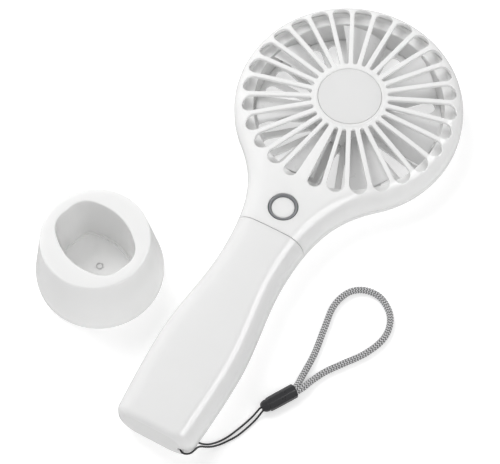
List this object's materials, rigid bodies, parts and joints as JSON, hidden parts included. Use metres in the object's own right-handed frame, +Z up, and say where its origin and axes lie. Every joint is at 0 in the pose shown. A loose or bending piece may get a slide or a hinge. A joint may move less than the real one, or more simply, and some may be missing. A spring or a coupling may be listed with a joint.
{
  "type": "handheld electric fan",
  "caption": "Handheld fan with a domed round slotted head, a waisted flat handle, a round push button and a wrist strap, beside its round desk stand.",
  "frame": {"origin": "bottom centre of the box round the fan and its stand, leaving the strap out, on the surface they lie on", "axes": "+Y from the handle's foot towards the head, +Z up from the surface, through the front grille, +X to the fan's right seen from the front"},
  "size_m": [0.1523, 0.2287, 0.0325],
  "materials": {
    "shell_white": "satin",
    "inner_plastic": "fine matt",
    "impeller_white": "satin",
    "ring_grey": "smooth",
    "black_plastic": "fine matt",
    "steel": "plated",
    "brass": "plain",
    "bronze": "sintered",
    "copper": "enamelled winding",
    "magnet": "ferrite",
    "board_green": "solder mask",
    "led_lens": "clear",
    "cell_wrap": "shrink film",
    "paper_white": "paper",
    "foam_black": "closed-cell foam",
    "wire_red": "insulation",
    "wire_black": "insulation",
    "string_black": "twisted polyester",
    "braid_grey": "braided polyester, grey and white"
  },
  "bodies": {
    "fan_body": {"battery_cell": "cell_wrap", "battery_cradle": "inner_plastic", "battery_end_pad": "foam_black", "battery_insulator": "paper_white", "battery_tab_negative": "steel", "battery_tab_positive": "steel", "battery_wire_black": "wire_black", "battery_wire_red": "wire_red", "board_screw_1": "steel", "board_screw_2": "steel", "button_ring": "ring_grey", "charge_chip": "black_plastic", "control_board": "board_green", "cover_screw_1": "steel", "cover_screw_2": "steel", "cover_screw_3": "steel", "cover_screw_4": "steel", "cradle_screw_1": "steel", "cradle_screw_2": "steel", "front_cover": "shell_white", "handle_screw_1": "steel", "handle_sleeve": "shell_white", "hub_badge": "shell_white", "motor_can": "steel", "motor_cover": "shell_white", "motor_end_cap": "black_plastic", "motor_front_bearing": "bronze", "motor_magnet_lower": "magnet", "motor_magnet_upper": "magnet", "motor_rear_bearing": "bronze", "motor_screw_left": "steel", "motor_screw_right": "steel", "motor_terminal_left": "brass", "motor_terminal_right": "brass", "motor_wire_black": "wire_black", "motor_wire_red": "wire_red", "rear_cover": "shell_white", "status_led": "led_lens", "strap_loop": "braid_grey", "strap_slider": "black_plastic", "strap_string": "string_black", "switch_body": "black_plastic", "usb_socket": "steel"},
    "rotor": {"impeller": "impeller_white", "motor_shaft": "steel", "motor_armature": "copper", "motor_commutator": "copper"},
    "power_button": {"button_cap": "shell_white", "switch_plunger": "black_plastic"},
    "desk_stand": {"desk_stand": "shell_white"}
  },
  "joints": [
    {"name": "impeller_spin", "type": "hinge", "parent": "fan_body", "child": "rotor", "pos_m": [0.0183, 0.06245, 0.011], "axis": [0, 0, 1], "continuous": true},
    {"name": "button_press", "type": "slide", "parent": "fan_body", "child": "power_button", "axis": [0, 0, -1], "range_m": [0, 0.0004], "stiffness_N_per_m": 3000},
    {"name": "stand_lift", "type": "slide", "parent": "fan_body", "child": "desk_stand", "axis": [0, 0, 1], "range_m": [0, 0.1]}
  ]
}
